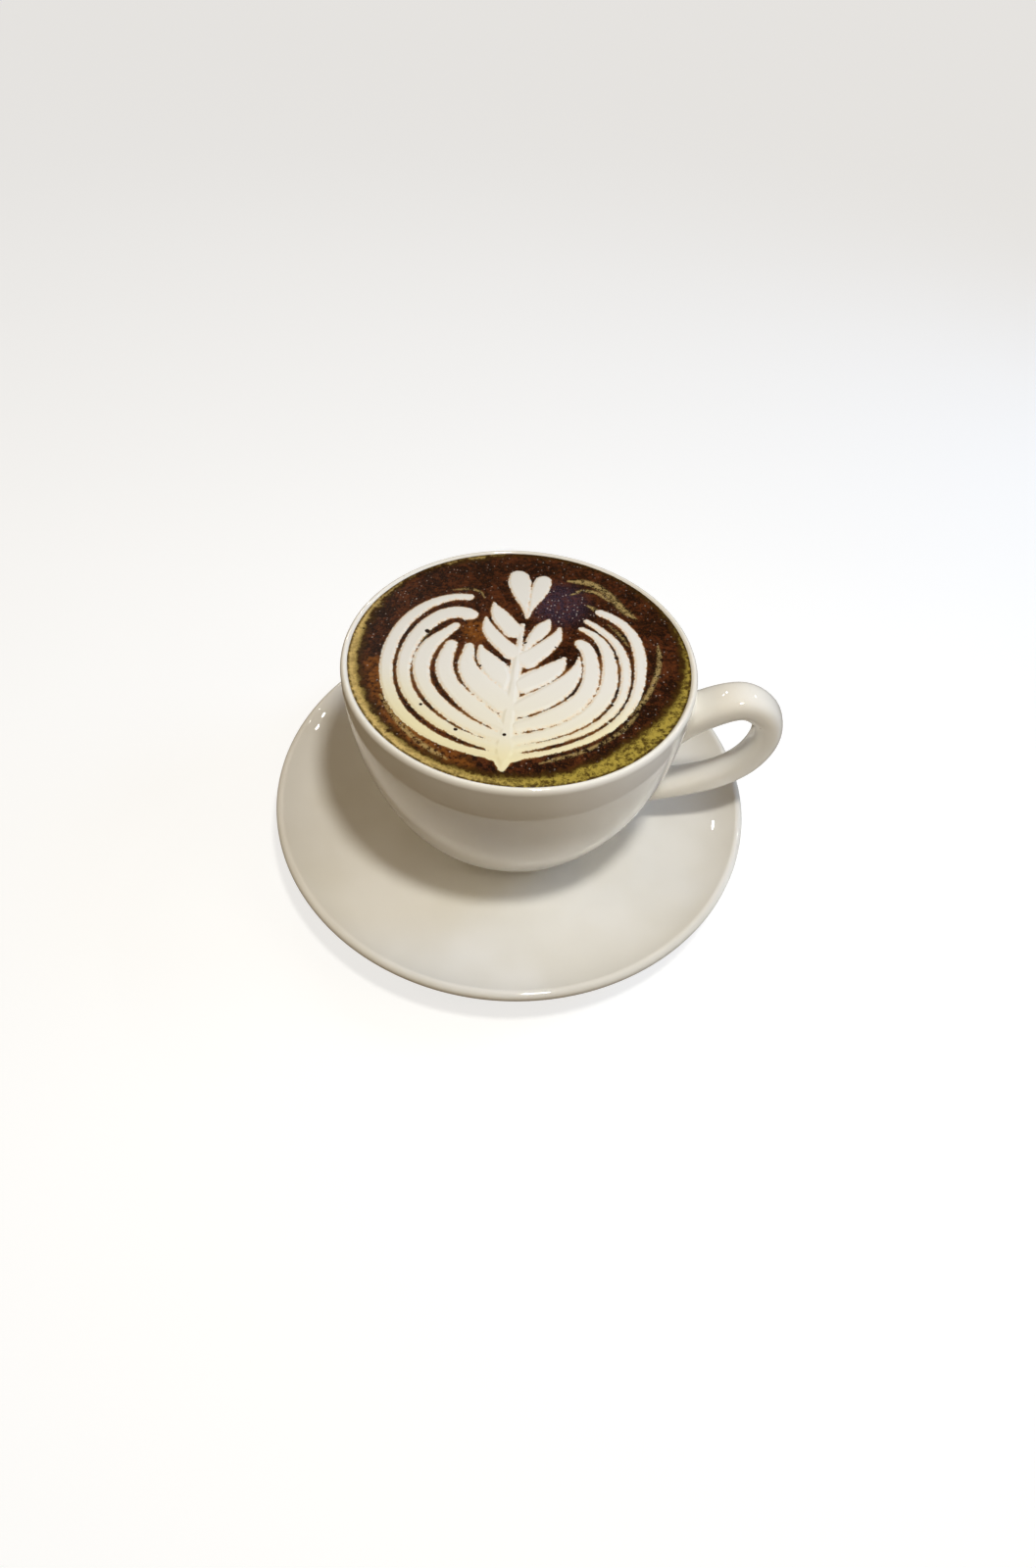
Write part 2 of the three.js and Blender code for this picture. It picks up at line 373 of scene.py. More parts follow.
class Shader:
    """The node tree of one finish, round a Principled surface."""

    def __init__(self, name: str) -> None:
        """Makes a material with an empty surface."""
        self.material = bpy.data.materials.new(name)
        self.material.use_nodes = True
        self.tree = self.material.node_tree
        self.tree.nodes.clear()
        self.place = Field(self, self.node("ShaderNodeTexCoord").outputs["Object"])

    def node(
        self,
        kind: str,
        settings: Mapping[str, object] | None = None,
        sockets: Mapping[str | int, object] | None = None,
    ) -> bpy.types.Node:
        """Adds a node.

        Args:
            kind: The node's type.
            settings: Properties, which are set first.
            sockets: Values or links of its inputs.

        Returns:
            The node.
        """
        made = self.tree.nodes.new(kind)
        for key, value in (settings or {}).items():
            setattr(made, key, value)
        for key, value in (sockets or {}).items():
            if isinstance(value, Field):
                self.tree.links.new(value.socket, made.inputs[key])
            else:
                made.inputs[key].default_value = value
        return made

    def math(self, operation: str, a: Value, b: Value) -> Field:
        """Adds a Math node and returns its result."""
        return Field(self, self.node("ShaderNodeMath", {"operation": operation}, {0: a, 1: b}).outputs[0])

    def mix(self, factor: Value, a: Field | Colour, b: Field | Colour) -> Field:
        """Goes from colour a to colour b.

        Args:
            factor: 0 for a and 1 for b.
            a: First colour.
            b: Second colour.

        Returns:
            The mixed colour.
        """
        made = self.node("ShaderNodeMix", {"data_type": "RGBA"}, {0: factor, 6: a, 7: b})
        return Field(self, made.outputs[2])

    def attribute(self, name: str) -> Field:
        """Reads a value that is kept on the mesh's points."""
        return Field(self, self.node("ShaderNodeAttribute", {"attribute_name": name}).outputs["Fac"])

    def height(self) -> Field:
        """Reads the height above the table in millimetres."""
        parts = self.node("ShaderNodeSeparateXYZ", None, {0: self.place})
        return Field(self, parts.outputs["Z"]) * (1 / MM)

    def noise(self, size: float, detail: float = 2.0, roughness: float = 0.5, seed: float = 0.0) -> Field:
        """Makes soft patches.

        Args:
            size: Size of a patch in millimetres.
            detail: Finer layers on top.
            roughness: Weight of the finer layers.
            seed: Picks another pattern.

        Returns:
            A value about 0.5, between 0 and 1.
        """
        sockets = {"Vector": self.place, "W": seed, "Scale": 1 / (size * MM)}
        sockets |= {"Detail": detail, "Roughness": roughness}
        return Field(self, self.node("ShaderNodeTexNoise", {"noise_dimensions": "4D"}, sockets).outputs[0])

    def cells(self, size: float, dimensions: str) -> tuple[Field, Field]:
        """Makes rounded cells.

        Args:
            size: Size of a cell in millimetres.
            dimensions: "2D" for a level surface, or "3D".

        Returns:
            The distance from a cell's middle, in cells, and a value of its own for each cell.
        """
        sockets = {"Vector": self.place, "Scale": 1 / (size * MM)}
        made = self.node("ShaderNodeTexVoronoi", {"voronoi_dimensions": dimensions}, sockets)
        own = self.node("ShaderNodeSeparateColor", None, {0: Field(self, made.outputs["Color"])})
        return Field(self, made.outputs["Distance"]), Field(self, own.outputs["Red"])

    def bump(self, height: Field, depth: float) -> Field:
        """Turns a height between 0 and 1 into a normal.

        Args:
            height: The relief.
            depth: Its depth in millimetres.

        Returns:
            The normal.
        """
        made = self.node("ShaderNodeBump", None, {"Strength": 1.0, "Distance": depth * MM, "Height": height})
        return Field(self, made.outputs["Normal"])

    def surface(self, **sockets: Field | Colour | float) -> bpy.types.Material:
        """Closes the tree with a Principled surface.

        Args:
            **sockets: Its inputs, with underscores for spaces.

        Returns:
            The finished material.
        """
        named = {key.replace("_", " ").replace("ior", "IOR"): value for key, value in sockets.items()}
        shade = self.node("ShaderNodeBsdfPrincipled", None, named)
        self.node("ShaderNodeOutputMaterial", None, {"Surface": Field(self, shade.outputs[0])})
        return self.material


@dataclass(frozen=True)
class PorcelainGlaze:
    """Warm white glaze over porcelain, worn bare on the foot ring."""

    body: Colour = tint(240, 237, 230)
    pooled: Colour = tint(233, 229, 219)
    bisque: Colour = tint(205, 194, 176)
    speck: Colour = tint(150, 128, 104)
    speck_share: float = 0.06

    def material(self, name: str, bare_below: float) -> bpy.types.Material:
        """Makes the finish.

        Args:
            name: Name of the material.
            bare_below: Height in millimetres under which the foot is unglazed.

        Returns:
            The material.
        """
        shader = Shader(name)
        pooling = shader.noise(26.0, 2.0, 0.45).rise(0.35, 0.7)
        glaze = shader.mix(pooling, self.body, self.pooled)
        away, own = shader.cells(5.0, "3D")
        specks = away.rise(0.06, 0.035) * own.rise(1 - self.speck_share, 1.001 - self.speck_share)
        glaze = shader.mix(specks * 0.6, glaze, self.speck)
        grit = shader.noise(0.35, 3.0, 0.6)
        bare = (shader.height() + (shader.noise(2.2) - 0.5) * 0.25).rise(bare_below + 0.06, bare_below - 0.06)
        colour = shader.mix(bare, glaze, shader.mix(grit, self.bisque, self.body))
        smooth = 0.012 + shader.noise(7.0, 3.0) * 0.014
        waves = shader.noise(9.0, 1.0, 0.4) * (1 - bare) + grit * bare * 0.4
        return shader.surface(
            Base_Color=colour,
            Roughness=smooth * (1 - bare) + bare * 0.75,
            Normal=shader.bump(waves, 0.012),
            IOR=1.52,
            Coat_Weight=0.35,
            Coat_Roughness=0.03,
            Coat_IOR=1.5,
        )


@dataclass(frozen=True)
class Saucer:
    """Shallow coupe saucer with a rolled rim, a foot ring and a well for the cup."""

    radius: float = 78.2
    rim_height: float = 14.9
    rim_roll: float = 1.6
    foot_outer: float = 45.8
    foot_inner: float = 42.2
    underside: float = 2.1
    well_floor: float = 5.0
    well_radius: float = 29.4
    ledge: float = 6.1
    under_pull: tuple[Pair, Pair] = ((60.0, 3.4), (72.5, 6.6))
    dish_pull: tuple[Pair, Pair] = ((66.0, 8.2), (52.0, 7.0))
    columns: int = 240

    def profile(self) -> np.ndarray:
        """Returns radius and height from the middle of the underside round to the middle of the well."""
        rim_centre = (self.radius - self.rim_roll, self.rim_height)
        roll = arc(rim_centre, (self.rim_roll, self.rim_roll), -20, 135, 18)
        shoulder = (self.foot_outer + 1.6, self.underside + 0.5)
        under = bezier([shoulder, *self.under_pull, tuple(roll[0])], 36)
        lip = (self.well_radius + 1.0, self.ledge)
        dish = bezier([tuple(roll[-1]), *self.dish_pull, lip], 60)
        foot = soften(
            [
                (0.0, self.underside),
                (self.foot_inner - 0.8, self.underside),
                (self.foot_inner, 0.0),
                (self.foot_outer, 0.0),
                (self.foot_outer + 0.5, 0.6),
                shoulder,
                tuple(under[2]),
            ],
            0.7,
            6,
        )
        well = soften(
            [
                tuple(dish[-2]),
                lip,
                (self.well_radius + 0.3, self.well_floor + 0.3),
                (self.well_radius - 0.4, self.well_floor),
                (0.0, self.well_floor),
            ],
            0.6,
            6,
        )
        return np.vstack([foot[:-1], under[2:-1], roll, dish[1:-2], well])

    def build(self, glaze: PorcelainGlaze) -> bpy.types.Object:
        """Makes the saucer.

        Args:
            glaze: Its finish.

        Returns:
            The piece.
        """
        loft = Loft()
        loft.turn(self.profile(), self.columns)
        piece = loft.build("saucer_glazed", glaze.material("saucer_glaze", 0.12))
        settle(piece, "saucer")
        return piece


@dataclass(frozen=True)
class Handle:
    """Ear handle in the XZ plane, from the root under the lip round to the root low on the bowl."""

    line: tuple[Pair, ...] = (
        (41.0, 42.9), (46.5, 49.3), (53.4, 57.7), (63.9, 63.6), (70.9, 60.2), (73.9, 51.8),
        (71.7, 40.7), (65.0, 32.0), (55.1, 25.7), (44.7, 20.6), (33.0, 14.7),
    )
    widths: tuple[float, ...] = (14.0, 14.0, 11.0, 9.8, 10.2, 12.0, 13.0)
    thicknesses: tuple[float, ...] = (8.8, 8.3, 8.2, 8.2, 7.4, 6.3, 6.3)
    squareness: float = 0.8
    fillet: float = 2.2
    steps: int = 72

    def length(self) -> float:
        """Returns the length of the centre line."""
        return float(lengths(through(self.line, 400))[-1])

    def skin(self, at: np.ndarray, angle: np.ndarray) -> np.ndarray:
        """Finds points on the handle.

        Args:
            at: Fractions of the handle's length.
            angle: Angles round its section, 0 towards +Y and a quarter turn on its outer side.

        Returns:
            The points, with a last axis of three.
        """
        at, angle = np.broadcast_arrays(np.asarray(at, float), angle)
        centre = through(self.line, 400)
        marks = np.linspace(0.0, 1.0, len(centre))
        slope = np.gradient(centre, axis=0)
        x, z = (np.interp(at, marks, axis) for axis in centre.T)
        along = np.stack([np.interp(at, marks, axis) for axis in slope.T])
        along /= np.linalg.norm(along, axis=0)
        side, out = (np.sign(f) * np.abs(f) ** self.squareness for f in (np.cos(angle), np.sin(angle)))
        out = out * spread(self.thicknesses, at) / 2
        return np.stack([x - along[1] * out, side * spread(self.widths, at) / 2, z + along[0] * out], axis=-1)


class Root(Enum):
    """The handle's two ends: the fractions of its length where a search for the wall starts and stops."""

    UPPER = (0.4, 0.0)
    LOWER = (0.6, 1.0)


@dataclass(frozen=True)
class Cup:
    """Latte cup: a round bowl with a thin lip and a low foot ring, in one piece with its handle."""

    handle: Handle = Handle()
    radius: float = 49.5
    top: float = 70.9
    lip_start: float = 69.0
    lip_crown: float = 48.35
    base: float = 5.3
    foot_outer: float = 28.0
    foot_inner: float = 24.6
    foot_height: float = 1.8
    bowl_start: Pair = (30.2, 7.96)
    cavity_radius: float = 47.1
    cavity_floor: float = 12.0
    wall_pull: tuple[Pair, Pair] = ((42.5, 13.9), (51.55, 43.5))
    lip_pull: tuple[Pair, Pair] = ((47.75, 70.9), (47.3, 70.2))
    cavity_pull: tuple[Pair, Pair] = ((46.5, 30.0), (40.0, 11.0))
    columns: int = 240
    wall_rows: int = 54
    hole_columns: int = 10
    hole_rows: int = 18

    def wall(self) -> np.ndarray:
        """Returns radius and height up the outer wall, finely and evenly spaced."""
        controls = [self.bowl_start, *self.wall_pull, (self.radius, self.lip_start)]
        return evenly(bezier(controls, 400), 600)

    def cavity(self) -> np.ndarray:
        """Returns radius and height down the inner wall, from the lip's crown to the floor."""
        inner_lip = (self.cavity_radius, self.lip_start)
        lip = bezier([(self.lip_crown, self.top), *self.lip_pull, inner_lip], 8)
        bowl = bezier([inner_lip, *self.cavity_pull, (0.0, self.cavity_floor)], 48)
        return np.vstack([lip, bowl[1:]])

    def on_wall(self, turn: np.ndarray, climb: np.ndarray) -> np.ndarray:
        """Finds points on the outer wall.

        Args:
            turn: Angles about the axis.
            climb: Distances up the wall.

        Returns:
            The points, with a last axis of three.
        """
        wall = self.wall()
        walked = lengths(wall)
        radius, height = (np.interp(climb, walked, axis) for axis in wall.T)
        return np.stack([radius * np.cos(turn), radius * np.sin(turn), height], axis=-1)

    def footprint(self, root: Root, angles: np.ndarray) -> tuple[np.ndarray, np.ndarray, np.ndarray]:
        """Finds where the handle's lines run into the wall.

        Args:
            root: Which end of the handle.
            angles: The lines, as angles round the handle's section.

        Returns:
            For each line, the fraction of the handle's length, the angle about the axis and
            the way up the wall.
        """
        wall = self.wall()
        at = np.linspace(*root.value, 800)
        lines = self.handle.skin(at[:, None], angles[None, :])
        clear = np.hypot(lines[..., 0], lines[..., 1]) - np.interp(lines[..., 2], wall[:, 1], wall[:, 0])
        first = np.argmax(clear < 0, axis=0)
        column = np.arange(len(angles))
        before, after = clear[first - 1, column], clear[first, column]
        found = at[first - 1] + (at[first] - at[first - 1]) * before / (before - after)
        points = self.handle.skin(found, angles)
        climb = np.interp(points[:, 2], wall[:, 1], lengths(wall))
        return found, np.arctan2(points[:, 1], points[:, 0]), climb

    def frame_of(self, middle: int, root: Root) -> list[tuple[int, int]]:
        """Walks round the opening in the wall's grid that a root needs.

        Args:
            middle: The opening's middle row.
            root: Which end of the handle.

        Returns:
            Row and column of each grid point, in step with the lines round the handle.
        """
        half, wide = self.hole_rows // 2, self.hole_columns
        up = 1 if root is Root.UPPER else -1
        walk = [(row, wide) for row in range(0, half)]
        walk += [(half, column) for column in range(wide, -wide, -1)]
        walk += [(row, -wide) for row in range(half, -half, -1)]
        walk += [(-half, column) for column in range(-wide, wide)]
        walk += [(row, wide) for row in range(-half, 0)]
        return [(middle + up * row, column) for row, column in walk]

    def join(self, root: Root, angles: np.ndarray) -> tuple[int, list[np.ndarray], np.ndarray]:
        """Shapes the fillet between wall and handle at one root.

        Args:
            root: Which end of the handle.
            angles: The lines round the handle's section.

        Returns:
            The opening's middle row, the rings from the opening out to the handle, and where each
            line leaves the fillet, as a fraction of the handle's length.
        """
        found, turn, climb = self.footprint(root, angles)
        wall = self.wall()
        radius = np.interp(climb, lengths(wall), wall[:, 0])
        flat = np.column_stack([turn * radius, climb])
        step = np.roll(flat, -1, axis=0) - np.roll(flat, 1, axis=0)
        outward = np.column_stack([step[:, 1], -step[:, 0]])
        outward /= np.linalg.norm(outward, axis=1, keepdims=True)
        outward *= np.sign(np.sum(outward * (flat - flat.mean(axis=0)), axis=1, keepdims=True))
        length = self.handle.length()
        away = math.copysign(1.0, root.value[0] - root.value[1])
        corner = self.on_wall(turn, climb)
        along = self.handle.skin(found + away * 0.5 / length, angles) - corner
        near_turn = (flat[:, 0] + outward[:, 0] * 0.5) / radius
        beside = self.on_wall(near_turn, climb + outward[:, 1] * 0.5) - corner
        sizes = np.linalg.norm(along, axis=1) * np.linalg.norm(beside, axis=1)
        cosine = np.sum(along * beside, axis=1) / sizes
        reach = np.clip(self.handle.fillet / np.tan(np.arccos(cosine) / 2), 1.3, 4.2)
        for _ in range(4):
            reach = (np.roll(reach, 1) + reach + np.roll(reach, -1)) / 3
        spread_flat = flat + outward * reach[:, None]
        edge_climb = spread_flat[:, 1]
        edge_turn = spread_flat[:, 0] / np.interp(edge_climb, lengths(wall), wall[:, 0])
        leaves = found + away * reach / length
        row_height = lengths(wall)[-1] / self.wall_rows
        middle = round((edge_climb.min() + edge_climb.max()) / 2 / row_height)
        grid = np.array(self.frame_of(middle, root), float)
        grid_turn, grid_climb = grid[:, 1] * 2 * math.pi / self.columns, grid[:, 0] * row_height
        rings = []
        for share in (0.25, 0.5, 0.75, 1.0):
            at_turn = grid_turn + (edge_turn - grid_turn) * share
            at_climb = grid_climb + (edge_climb - grid_climb) * share
            rings.append(self.on_wall(at_turn, at_climb))
        start, end = rings[-1], self.handle.skin(leaves, angles)
        for t in np.linspace(0.0, 1.0, 8)[1:]:
            rings.append((1 - t) ** 2 * start + 2 * (1 - t) * t * corner + t**2 * end)
        return middle, rings, leaves

    def build(self, glaze: PorcelainGlaze) -> bpy.types.Object:
        """Makes the cup with its handle as one closed mesh.

        Args:
            glaze: Its finish.

        Returns:
            The piece.
        """
        count = 2 * self.hole_rows + 4 * self.hole_columns
        angles = np.arange(count) * (2 * math.pi / count)
        joins = {root: self.join(root, angles) for root in Root}
        recess = self.base + self.foot_height
        wall = evenly(self.wall(), self.wall_rows)
        foot = soften(
            [
                (0.0, recess),
                (self.foot_inner - 0.8, recess),
                (self.foot_inner, self.base),
                (self.foot_outer, self.base),
                (self.foot_outer + 0.5, self.base + 1.2),
                self.bowl_start,
            ],
            0.6,
            6,
        )[:-1]
        lip_radii = (self.radius - self.lip_crown, self.top - self.lip_start)
        lip = arc((self.lip_crown, self.lip_start), lip_radii, 0, 90, 10)
        profile = np.vstack([foot, wall, lip[1:], self.cavity()[1:]])
        first = len(foot)
        opening = frozenset(column % self.columns for column in range(-self.hole_columns, self.hole_columns))
        half = self.hole_rows // 2
        middles = [middle for middle, _, _ in joins.values()]
        holes = {first + middle + row: opening for middle in middles for row in range(-half, half)}
        loft = Loft()
        rows = loft.turn(profile, self.columns, holes)
        ends = {}
        for root, (middle, rings, leaves) in joins.items():
            walk = self.frame_of(middle, root)
            last = np.array([rows[first + row][column % self.columns] for row, column in walk])
            for points in rings:
                ring = loft.ring(points)
                loft.strip(last, ring)
                last = ring
            ends[root] = (last, leaves)
        last, leaves = ends[Root.UPPER]
        final, arrives = ends[Root.LOWER]
        for share in np.linspace(0.0, 1.0, self.handle.steps + 1)[1:-1]:
            ring = loft.ring(self.handle.skin(leaves + (arrives - leaves) * share, angles))
            loft.strip(last, ring)
            last = ring
        loft.strip(last, final)
        piece = loft.build("cup_glazed", glaze.material("cup_glaze", self.base + 0.12))
        settle(piece, "cup")
        return piece


class Side(Enum):
    """Which side of the stem a lobe of milk lies on."""

    LEFT = -1
    RIGHT = 1


def heading(angle: float) -> np.ndarray:
    """Returns the direction at an angle in degrees from straight up the stem, outwards."""
    return np.array([math.sin(math.radians(angle)), math.cos(math.radians(angle))])


@dataclass(frozen=True)
class Petal:
    """One lobe of poured milk, in millimetres out from the stem and along it, from its root to its tip."""

    root: Pair
    leaves: float
    tip: Pair
    ends: float
    breadths: tuple[float, float, float, float, float]
    bow: Pair | None = None
    swell: Pair = (1.0, 1.0)

    @staticmethod
    def sweep(start: Pair, leaves: float, end: Pair, arrives: float, swell: float) -> np.ndarray:
        """Curves from one point to another, fuller the more it turns.

        Args:
            start: First point.
            leaves: Heading at the first point.
            end: Last point.
            arrives: Heading at the last point.
            swell: How full the curve is.

        Returns:
            The points of the curve.
        """
        chord = np.subtract(end, start)
        pull = swell * (1 / 3 + 0.22 * min(1.0, abs(arrives - leaves) / 90))
        out, into = heading(leaves), heading(arrives)
        reach_out, reach_in = (
            pull * max(abs(float(chord @ way)), 0.45 * float(np.linalg.norm(chord))) for way in (out, into)
        )
        return bezier([start, np.add(start, out * reach_out), np.subtract(end, into * reach_in), end], 60)

    def line(self) -> np.ndarray:
        """Returns the centre line from root to tip."""
        if self.bow is None:
            return self.sweep(self.root, self.leaves, self.tip, self.ends, self.swell[0])
        first = self.sweep(self.root, self.leaves, self.bow, 0.0, self.swell[0])
        return np.vstack([first, self.sweep(self.bow, 0.0, self.tip, self.ends, self.swell[1])[1:]])

    def outline(self, side: Side) -> np.ndarray:
        """Draws the lobe's edge.

        Args:
            side: Side of the stem.

        Returns:
            The points round the lobe, across the stem and along it.
        """
        line = self.line()
        length = lengths(line)[-1]
        cap, heel = max(self.breadths[4] / 2, 0.2), max(self.breadths[0] / 2, 0.2)
        turned = np.sin(np.linspace(0, math.pi / 2, 9))
        body = np.linspace(heel, length - cap, 44)
        at = np.concatenate([heel - heel * turned[:0:-1], body, length - cap + cap * turned[1:]])
        walked = lengths(line)
        centre = np.column_stack([np.interp(at, walked, axis) for axis in line.T])
        along = np.gradient(centre, at, axis=0)
        along /= np.linalg.norm(along, axis=1, keepdims=True)
        past = np.clip(np.maximum((at - (length - cap)) / cap, (heel - at) / heel), 0.0, 1.0)
        half = spread(self.breadths, at / length) / 2 * np.sqrt(1 - past**2)
        normal = np.column_stack([-along[:, 1], along[:, 0]]) * half[:, None]
        edge = np.vstack([centre + normal, (centre - normal)[::-1]])
        return edge * (side.value, 1)


def signed_distance(points: np.ndarray, outline: np.ndarray, far: float) -> np.ndarray:
    """Measures how far points lie outside a closed outline.

    Args:
        points: The points, two numbers each.
        outline: The outline's corners in order.
        far: Distance past which the result no longer grows.

    Returns:
        The distance for each point, negative inside.
    """
    out = np.full(len(points), far)
    near = np.all((points > outline.min(axis=0) - far) & (points < outline.max(axis=0) + far), axis=1)
    spots = points[near]
    best = np.full(len(spots), far**2)
    inside = np.zeros(len(spots), bool)
    for a, b in zip(outline, np.roll(outline, -1, axis=0)):
        edge = b - a
        size = float(edge @ edge)
        if size < 1e-12:
            continue
        t = np.clip((spots - a) @ edge / size, 0.0, 1.0)
        gap = spots - a - t[:, None] * edge
        best = np.minimum(best, np.sum(gap * gap, axis=1))
        if a[1] != b[1]:
            crosses = (a[1] > spots[:, 1]) != (b[1] > spots[:, 1])
            inside ^= crosses & (spots[:, 0] < a[0] + edge[0] * (spots[:, 1] - a[1]) / edge[1])
    out[near] = np.where(inside, -1, 1) * np.sqrt(best)
    return out


def line_distance(points: np.ndarray, line: np.ndarray) -> np.ndarray:
    """Measures how far points lie from an open line.

    Args:
        points: The points, two numbers each.
        line: The line's points.

    Returns:
        The distance for each point.
    """
    best = np.full(len(points), np.inf)
    for a, b in zip(line, line[1:]):
        edge = b - a
        t = np.clip((points - a) @ edge / float(edge @ edge), 0.0, 1.0)
        best = np.minimum(best, np.linalg.norm(points - a - t[:, None] * edge, axis=1))
    return best


@dataclass(frozen=True)
class MilkArt:
    """Poured rosetta with a heart above it: lobes of milk on both sides of a stem, outermost first."""

    turn: float = 1.7
    left: tuple[Petal, ...] = (
        Petal((0, -38.4), 89, (16.7, 22.4), -100, (1.3, 2.9, 3.5, 3.9, 2.8), (36.2, -3.5), (1.1, 1.14)),
        Petal((0, -35.9), 80, (15, 12.7), -140, (2, 3, 3.5, 4.5, 5.4), (31.2, -6.5), (1, 1.5)),
        Petal((0, -32.8), 76, (19.2, 9.9), -30, (2.4, 4, 4, 4.9, 2.4), (26.4, -7), (0.9, 1.1)),
        Petal((0.4, -29.6), 54, (19.5, 2.3), -6, (2, 5.2, 4.8, 4.7, 3.2), (20.3, -6), (0.9, 1)),
        Petal((0.5, -21.8), 50, (14.5, 1.9), -4, (6, 7.1, 6.6, 4.4, 2.4), (14.5, -4), (0.9, 1)),
        Petal((2.9, -15), 8, (11.7, 1.8), 12, (0.8, 5.5, 6.4, 4.4, 0.9)),
        Petal((0.7, -1.6), 48, (11.7, 14.4), 0, (6, 5.2, 4.8, 3.5, 0.6), None, (0.88, 1)),
        Petal((1.2, 7), 40, (10.5, 21.4), 14, (7, 6, 5.8, 4.2, 0.4), None, (0.85, 1)),
        Petal((0.4, -36), 0, (0.9, 13), 0, (3, 3, 2, 1.8, 1.4)),
        Petal((0, -42), 0, (0.4, -29), 0, (0.3, 3.4, 4.6, 3.8, 2.6)),
        Petal((0, 15.3), 8, (4.5, 38.6), 0, (0.5, 2.6, 5.6, 7, 5.2)),
    )
    right: tuple[Petal, ...] = (
        Petal((0.4, -38.8), 74, (20, 22.2), -76, (1, 1.8, 2.6, 3.6, 3), (33.5, -1), (1.04, 1.03)),
        Petal((0.4, -36.2), 72, (16.8, 17.6), -58, (1.4, 1.7, 2.4, 2.8, 2), (29.5, -5), (1.02, 1)),
        Petal((0.6, -33), 73, (15.5, 13.6), -74, (2.4, 3.8, 4.6, 3.9, 1.9), (25.1, -5), (0.98, 1)),
        Petal((0.8, -28.2), 71, (14.7, 7.2), -88, (2.8, 5.4, 4.8, 4.4, 4), (20, -6), (0.95, 1.08)),
        Petal((0.4, -22.4), 58, (16.3, 1.4), -2, (4.6, 6.4, 6.4, 4, 0.5), None, (0.92, 1)),
        Petal((0.4, -14), 45, (12.4, 0.5), 16, (4.4, 5.6, 5.8, 4.6, 1)),
        Petal((0.3, -4.4), 38, (10, 13.1), 2, (7.4, 5.8, 5.2, 3.8, 0.8), None, (0.95, 1)),
        Petal((0.9, 1.2), 14, (6.6, 16.3), 14, (1.6, 3, 4.2, 4.3, 0.8)),
        Petal((0.2, 15.3), 4, (3.4, 37.1), 2, (0.5, 1.8, 4.3, 5.5, 4.4)),
    )
    reach: float = 6.0

    def across_and_along(self, points: np.ndarray) -> np.ndarray:
        """Turns places on the drink into millimetres across the stem and along it."""
        turn = math.radians(self.turn)
        return points[:, :2] @ np.array([[math.cos(turn), -math.sin(turn)], [math.sin(turn), math.cos(turn)]])

    def distance(self, spots: np.ndarray) -> np.ndarray:
        """Measures how far spots lie from the milk.

        Args:
            spots: Places across the stem and along it.

        Returns:
            The distance in millimetres, negative on the milk.
        """
        lobes = [petal.outline(Side.LEFT) for petal in self.left]
        lobes += [petal.outline(Side.RIGHT) for petal in self.right]
        return np.min([signed_distance(spots, lobe, self.reach) for lobe in lobes], axis=0)


@dataclass(frozen=True)
class Swirl:
    """A drawn-out streak of crema: points across the stem and along it, and half its breadth."""

    points: tuple[Pair, ...]
    half: float
    strength: float = 1.0

    def cover(self, spots: np.ndarray) -> np.ndarray:
        """Measures how much of the streak covers spots, from 0 to 1, thinning out at both ends."""
        line = through(self.points, 24)
        away = line_distance(spots, line)
        ends = np.minimum(*(np.linalg.norm(spots - end, axis=1) for end in (line[0], line[-1])))
        half = self.half * (0.35 + 0.65 * rise(ends, 0.0, 4.0))
        return self.strength * rise(away / half, 1.35, 0.45)


@dataclass(frozen=True)
class Patch:
    """A soft oval on the drink: its middle and half size, across the stem and along it, and its core."""

    middle: Pair
    half: Pair
    core: float

    def cover(self, spots: np.ndarray) -> np.ndarray:
        """Measures how much of the oval covers spots, from 0 to 1."""
        return rise(np.hypot(*((spots - self.middle) / self.half).T), 1.0, self.core)


@dataclass(frozen=True)
class Crema:
    """Ring of crema along the wall, as breadths at angles in degrees from +X, going round by way of +Y."""

    angles: tuple[float, ...] = (
        -180, -150, -120, -95, -75, -60, -45, -30, -12, 5, 25, 60, 95, 112, 125, 140, 160, 180,
    )
    breadths: tuple[float, ...] = (
        3.3, 3.4, 3.2, 3.4, 4.2, 5.4, 6.2, 5.4, 3.4, 2.2, 1.2, 0.2, 0.7, 1.8, 1.3, 0.5, 2.0, 3.3,
    )

    def depth(self, spots: np.ndarray, edge: float) -> np.ndarray:
        """Measures how deep spots lie in the ring.

        Args:
            spots: Places across the stem and along it.
            edge: Radius of the drink.

        Returns:
            Millimetres from the ring's inner side outwards, negative inside of it.
        """
        angle = np.degrees(np.arctan2(spots[:, 1], spots[:, 0]))
        return np.hypot(*spots.T) - edge + np.interp(angle, self.angles, self.breadths)


